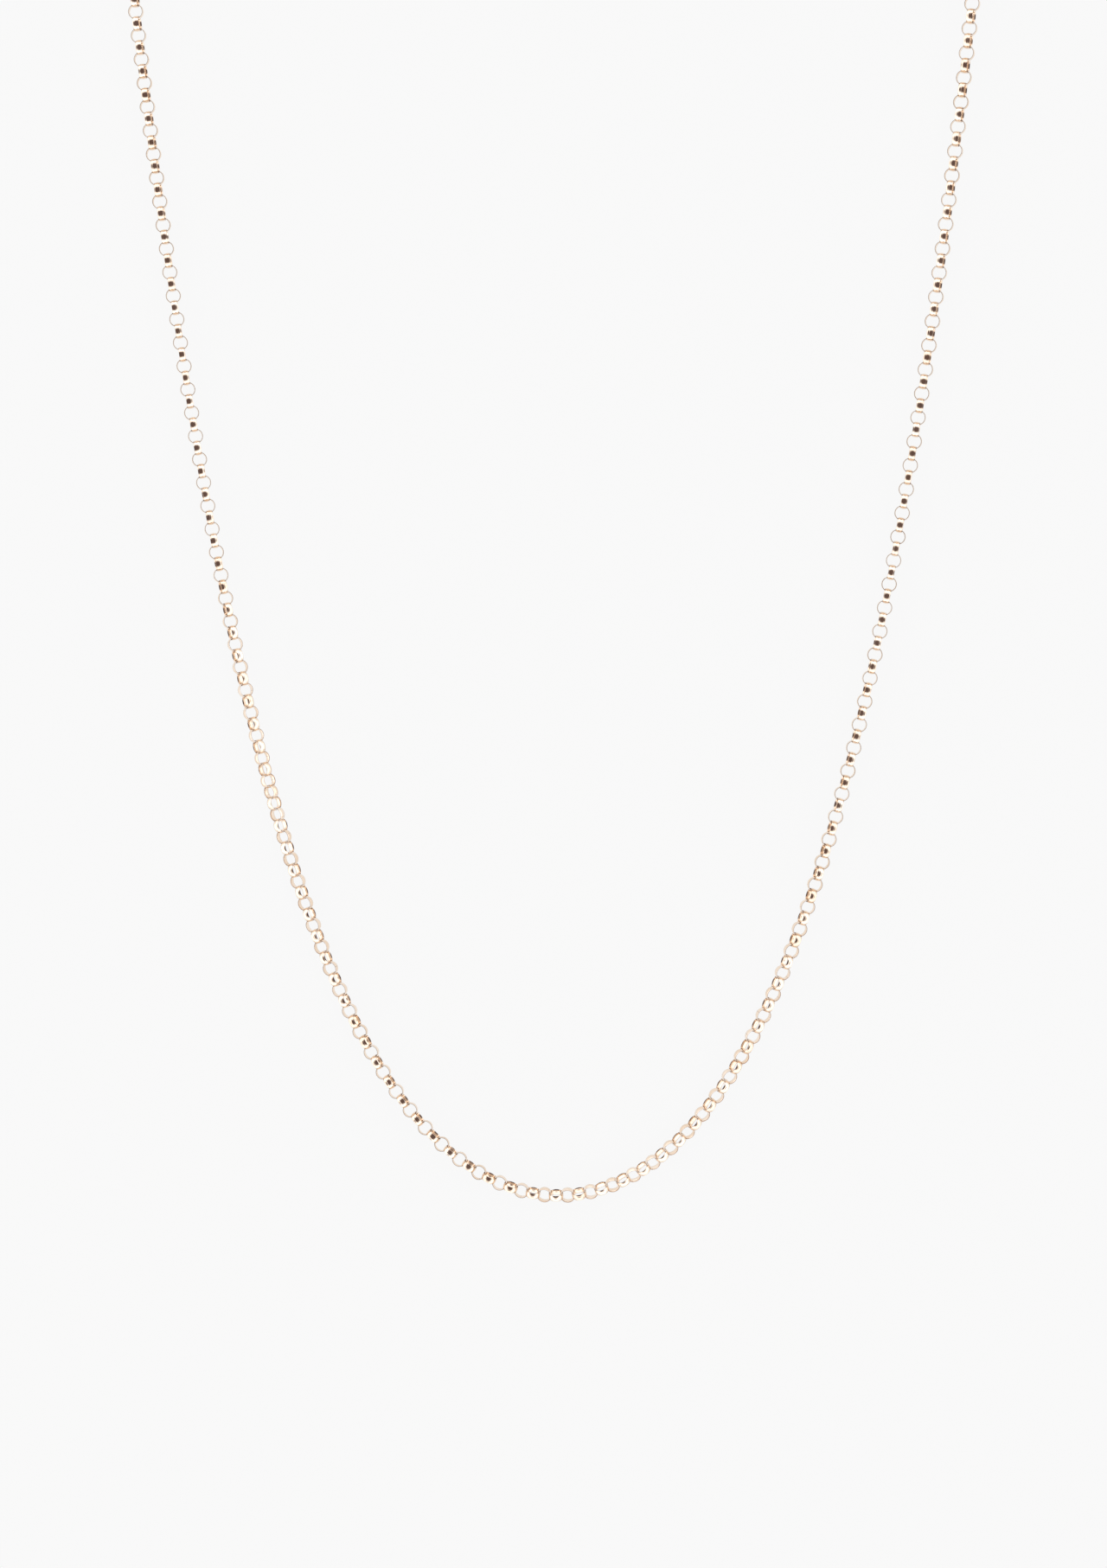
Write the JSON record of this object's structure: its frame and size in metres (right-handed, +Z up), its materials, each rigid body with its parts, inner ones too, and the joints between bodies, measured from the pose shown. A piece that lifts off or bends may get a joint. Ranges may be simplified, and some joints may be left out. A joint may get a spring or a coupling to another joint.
{
  "type": "chain necklace",
  "caption": "Rose-gold belcher chain necklace of round band links, laid open, with a lobster claw clasp, jump ring and end ring.",
  "frame": {"origin": "on the table top, z = 0, under the middle of the laid-out loop", "axes": "+X across the necklace, to the wearer's left, +Y from the low point of the chain to the clasp, +Z up from the table"},
  "size_m": [0.1268, 0.2472, 0.0029],
  "materials": {
    "rose_gold": "polished",
    "claw_steel": "satin"
  },
  "bodies": {
    "chain_middle": {"chain_middle": "rose_gold"},
    "chain_left_01": {"chain_left_01": "rose_gold"},
    "chain_left_02": {"chain_left_02": "rose_gold"},
    "chain_left_03": {"chain_left_03": "rose_gold"},
    "chain_left_04": {"chain_left_04": "rose_gold"},
    "chain_left_05": {"chain_left_05": "rose_gold"},
    "chain_left_06": {"chain_left_06": "rose_gold"},
    "chain_left_07": {"chain_left_07": "rose_gold"},
    "chain_left_08": {"chain_left_08": "rose_gold"},
    "chain_left_09": {"chain_left_09": "rose_gold"},
    "chain_left_10": {"chain_left_10": "rose_gold"},
    "chain_left_11": {"chain_left_11": "rose_gold"},
    "chain_left_12": {"chain_left_12": "rose_gold"},
    "chain_left_13": {"chain_left_13": "rose_gold"},
    "chain_left_14": {"chain_left_14": "rose_gold"},
    "chain_left_15": {"chain_left_15": "rose_gold"},
    "chain_left_16": {"chain_left_16": "rose_gold"},
    "chain_left_17": {"chain_left_17": "rose_gold"},
    "chain_left_18": {"chain_left_18": "rose_gold"},
    "chain_left_19": {"chain_left_19": "rose_gold"},
    "chain_left_20": {"chain_left_20": "rose_gold"},
    "chain_right_01": {"chain_right_01": "rose_gold"},
    "chain_right_02": {"chain_right_02": "rose_gold"},
    "chain_right_03": {"chain_right_03": "rose_gold"},
    "chain_right_04": {"chain_right_04": "rose_gold"},
    "chain_right_05": {"chain_right_05": "rose_gold"},
    "chain_right_06": {"chain_right_06": "rose_gold"},
    "chain_right_07": {"chain_right_07": "rose_gold"},
    "chain_right_08": {"chain_right_08": "rose_gold"},
    "chain_right_09": {"chain_right_09": "rose_gold"},
    "chain_right_10": {"chain_right_10": "rose_gold"},
    "chain_right_11": {"chain_right_11": "rose_gold"},
    "chain_right_12": {"chain_right_12": "rose_gold"},
    "chain_right_13": {"chain_right_13": "rose_gold"},
    "chain_right_14": {"chain_right_14": "rose_gold"},
    "chain_right_15": {"chain_right_15": "rose_gold"},
    "chain_right_16": {"chain_right_16": "rose_gold"},
    "chain_right_17": {"chain_right_17": "rose_gold"},
    "chain_right_18": {"chain_right_18": "rose_gold"},
    "chain_right_19": {"chain_right_19": "rose_gold"},
    "chain_right_20": {"chain_right_20": "rose_gold"},
    "jump_ring": {"jump_ring": "rose_gold"},
    "claw": {"claw_body": "rose_gold", "trigger_pin": "rose_gold", "trigger_spring": "claw_steel"},
    "trigger": {"trigger": "rose_gold"},
    "end_ring": {"end_ring": "rose_gold"}
  },
  "joints": [
    {"name": "jump_ring_swing", "type": "hinge", "parent": "chain_left_20", "child": "jump_ring", "pos_m": [-0.00944, 0.12032, 0.00117], "axis": [0, 0, 1], "range_deg": [-50, 50]},
    {"name": "claw_tilt", "type": "hinge", "parent": "jump_ring", "child": "claw", "pos_m": [-0.00805, 0.1205, 0.00147], "axis": [0.1262, -0.992, 0], "range_deg": [-8, 60]},
    {"name": "trigger_open", "type": "hinge", "parent": "claw", "child": "trigger", "pos_m": [-0.0045, 0.12019, 0.0012], "axis": [0, 0, 1], "range_deg": [0, 13], "stiffness_Nm_per_rad": 0.002, "springref_deg": -5.73},
    {"name": "end_ring_swing", "type": "hinge", "parent": "chain_right_20", "child": "end_ring", "pos_m": [0.00944, 0.12032, 0.00117], "axis": [0.1262, 0.992, 0], "range_deg": [-15, 60]},
    {"name": "bend_left_01", "type": "hinge", "parent": "chain_middle", "child": "chain_left_01", "pos_m": [-0.00695, -0.12138, 0.00117], "axis": [-0.3113, -0.9322, -0.1845], "range_deg": [-60, 60]},
    {"name": "bend_right_01", "type": "hinge", "parent": "chain_middle", "child": "chain_right_01", "pos_m": [0.00695, -0.12138, 0.00117], "axis": [0.2839, -0.85, -0.4438], "range_deg": [-60, 60]},
    {"name": "bend_left_02", "type": "hinge", "parent": "chain_left_01", "child": "chain_left_02", "pos_m": [-0.01871, -0.11372, 0.00117], "axis": [0.7073, 0.706, 0.0356], "range_deg": [-60, 60]},
    {"name": "bend_right_02", "type": "hinge", "parent": "chain_right_01", "child": "chain_right_02", "pos_m": [0.01871, -0.11372, 0.00117], "axis": [-0.615, 0.6139, 0.4949], "range_deg": [-60, 60]},
    {"name": "bend_left_03", "type": "hinge", "parent": "chain_left_02", "child": "chain_left_03", "pos_m": [-0.02725, -0.10247, 0.00117], "axis": [-0.8517, -0.5101, -0.1198], "range_deg": [-60, 60]},
    {"name": "bend_right_03", "type": "hinge", "parent": "chain_right_02", "child": "chain_right_03", "pos_m": [0.02725, -0.10247, 0.00117], "axis": [0.7594, -0.4548, -0.4652], "range_deg": [-60, 60]},
    {"name": "bend_left_04", "type": "hinge", "parent": "chain_left_03", "child": "chain_left_04", "pos_m": [-0.03361, -0.08983, 0.00117], "axis": [0.8877, 0.3797, 0.2605], "range_deg": [-60, 60]},
    {"name": "bend_right_04", "type": "hinge", "parent": "chain_right_03", "child": "chain_right_04", "pos_m": [0.03361, -0.08983, 0.00117], "axis": [-0.8227, 0.3519, 0.4464], "range_deg": [-60, 60]},
    {"name": "bend_left_05", "type": "hinge", "parent": "chain_left_04", "child": "chain_left_05", "pos_m": [-0.03859, -0.07658, 0.00117], "axis": [-0.8919, -0.2967, -0.3413], "range_deg": [-60, 60]},
    {"name": "bend_right_05", "type": "hinge", "parent": "chain_right_04", "child": "chain_right_05", "pos_m": [0.03859, -0.07658, 0.00117], "axis": [0.8881, -0.2955, -0.3522], "range_deg": [-60, 60]},
    {"name": "bend_left_06", "type": "hinge", "parent": "chain_left_05", "child": "chain_left_06", "pos_m": [-0.04266, -0.06302, 0.00117], "axis": [0.8054, 0.2192, 0.5508], "range_deg": [-60, 60]},
    {"name": "bend_right_06", "type": "hinge", "parent": "chain_right_05", "child": "chain_right_06", "pos_m": [0.04266, -0.06302, 0.00117], "axis": [-0.94, 0.2559, 0.2256], "range_deg": [-60, 60]},
    {"name": "bend_left_07", "type": "hinge", "parent": "chain_left_06", "child": "chain_left_07", "pos_m": [-0.0461, -0.04928, 0.00117], "axis": [-0.5855, -0.1349, -0.7994], "range_deg": [-60, 60]},
    {"name": "bend_right_07", "type": "hinge", "parent": "chain_right_06", "child": "chain_right_07", "pos_m": [0.0461, -0.04928, 0.00117], "axis": [0.9601, -0.2211, -0.1714], "range_deg": [-60, 60]},
    {"name": "bend_left_08", "type": "hinge", "parent": "chain_left_07", "child": "chain_left_08", "pos_m": [-0.04941, -0.0337, 0.00117], "axis": [0.8782, 0.1724, -0.4461], "range_deg": [-60, 60]},
    {"name": "bend_right_08", "type": "hinge", "parent": "chain_right_07", "child": "chain_right_08", "pos_m": [0.04906, -0.03543, 0.00117], "axis": [-0.9778, 0.1952, 0.0767], "range_deg": [-60, 60]},
    {"name": "bend_left_09", "type": "hinge", "parent": "chain_left_08", "child": "chain_left_09", "pos_m": [-0.05198, -0.01977, 0.00117], "axis": [-0.9373, -0.1627, 0.3082], "range_deg": [-60, 60]},
    {"name": "bend_right_09", "type": "hinge", "parent": "chain_right_08", "child": "chain_right_09", "pos_m": [0.05167, -0.02152, 0.00117], "axis": [0.9847, -0.1734, 0.016], "range_deg": [-60, 60]},
    {"name": "bend_left_10", "type": "hinge", "parent": "chain_left_09", "child": "chain_left_10", "pos_m": [-0.05427, -0.0058, 0.00117], "axis": [0.952, 0.1481, -0.2677], "range_deg": [-60, 60]},
    {"name": "bend_right_10", "type": "hinge", "parent": "chain_right_09", "child": "chain_right_10", "pos_m": [0.054, -0.00755, 0.00117], "axis": [-0.9864, 0.1555, -0.0532], "range_deg": [-60, 60]},
    {"name": "bend_left_11", "type": "hinge", "parent": "chain_left_10", "child": "chain_left_11", "pos_m": [-0.05634, 0.00821, 0.00117], "axis": [-0.9729, -0.1371, 0.1864], "range_deg": [-60, 60]},
    {"name": "bend_right_11", "type": "hinge", "parent": "chain_right_10", "child": "chain_right_11", "pos_m": [0.05609, 0.00645, 0.00117], "axis": [0.9809, -0.1399, 0.1352], "range_deg": [-60, 60]},
    {"name": "bend_left_12", "type": "hinge", "parent": "chain_left_11", "child": "chain_left_12", "pos_m": [-0.05823, 0.02224, 0.00117], "axis": [0.9874, 0.1272, -0.0939], "range_deg": [-60, 60]},
    {"name": "bend_right_12", "type": "hinge", "parent": "chain_right_11", "child": "chain_right_12", "pos_m": [0.05801, 0.02048, 0.00117], "axis": [-0.9737, 0.1268, -0.1896], "range_deg": [-60, 60]},
    {"name": "bend_left_13", "type": "hinge", "parent": "chain_left_12", "child": "chain_left_13", "pos_m": [-0.05997, 0.03629, 0.00117], "axis": [-0.9928, -0.1177, 0.0217], "range_deg": [-60, 60]},
    {"name": "bend_right_13", "type": "hinge", "parent": "chain_right_12", "child": "chain_right_13", "pos_m": [0.05976, 0.03454, 0.00117], "axis": [0.9732, -0.1166, 0.1981], "range_deg": [-60, 60]},
    {"name": "bend_left_14", "type": "hinge", "parent": "chain_left_13", "child": "chain_left_14", "pos_m": [-0.06157, 0.05036, 0.00117], "axis": [0.994, 0.1092, 0], "range_deg": [-60, 60]},
    {"name": "bend_right_14", "type": "hinge", "parent": "chain_right_13", "child": "chain_right_14", "pos_m": [0.06138, 0.0486, 0.00117], "axis": [-0.9694, 0.1075, -0.2208], "range_deg": [-60, 60]},
    {"name": "bend_left_15", "type": "hinge", "parent": "chain_left_14", "child": "chain_left_15", "pos_m": [-0.06216, 0.06449, 0.00117], "axis": [-0.9976, 0.0691, 0], "range_deg": [-60, 60]},
    {"name": "bend_right_15", "type": "hinge", "parent": "chain_right_14", "child": "chain_right_15", "pos_m": [0.06225, 0.06272, 0.00117], "axis": [0.9672, 0.0386, 0.2511], "range_deg": [-60, 60]},
    {"name": "bend_left_16", "type": "hinge", "parent": "chain_left_15", "child": "chain_left_16", "pos_m": [-0.05954, 0.07837, 0.00117], "axis": [0.9544, -0.2986, 0], "range_deg": [-60, 60]},
    {"name": "bend_right_16", "type": "hinge", "parent": "chain_right_15", "child": "chain_right_16", "pos_m": [0.06004, 0.07667, 0.00117], "axis": [-0.9239, -0.2596, -0.281], "range_deg": [-60, 60]},
    {"name": "bend_left_17", "type": "hinge", "parent": "chain_left_16", "child": "chain_left_17", "pos_m": [-0.05378, 0.09127, 0.00117], "axis": [-0.8591, 0.5118, 0], "range_deg": [-60, 60]},
    {"name": "bend_right_17", "type": "hinge", "parent": "chain_right_16", "child": "chain_right_17", "pos_m": [0.05466, 0.08973, 0.00117], "axis": [0.8327, 0.4636, 0.3026], "range_deg": [-60, 60]},
    {"name": "bend_left_18", "type": "hinge", "parent": "chain_left_17", "child": "chain_left_18", "pos_m": [-0.04518, 0.10248, 0.00117], "axis": [0.717, -0.6971, 0], "range_deg": [-60, 60]},
    {"name": "bend_right_18", "type": "hinge", "parent": "chain_right_17", "child": "chain_right_18", "pos_m": [0.04639, 0.10119, 0.00117], "axis": [-0.7017, -0.6433, -0.3062], "range_deg": [-60, 60]},
    {"name": "bend_left_19", "type": "hinge", "parent": "chain_left_18", "child": "chain_left_19", "pos_m": [-0.03421, 0.11139, 0.00117], "axis": [-0.5358, 0.8444, 0], "range_deg": [-60, 60]},
    {"name": "bend_right_19", "type": "hinge", "parent": "chain_right_18", "child": "chain_right_19", "pos_m": [0.0357, 0.11042, 0.00117], "axis": [0.5458, 0.807, 0.2254], "range_deg": [-60, 60]},
    {"name": "bend_left_20", "type": "hinge", "parent": "chain_left_19", "child": "chain_left_20", "pos_m": [-0.02148, 0.11751, 0.00117], "axis": [0.3253, -0.9456, 0], "range_deg": [-60, 60]},
    {"name": "bend_right_20", "type": "hinge", "parent": "chain_right_19", "child": "chain_right_20", "pos_m": [0.02315, 0.11691, 0.00117], "axis": [-0.3513, -0.9315, -0.0948], "range_deg": [-60, 60]}
  ]
}
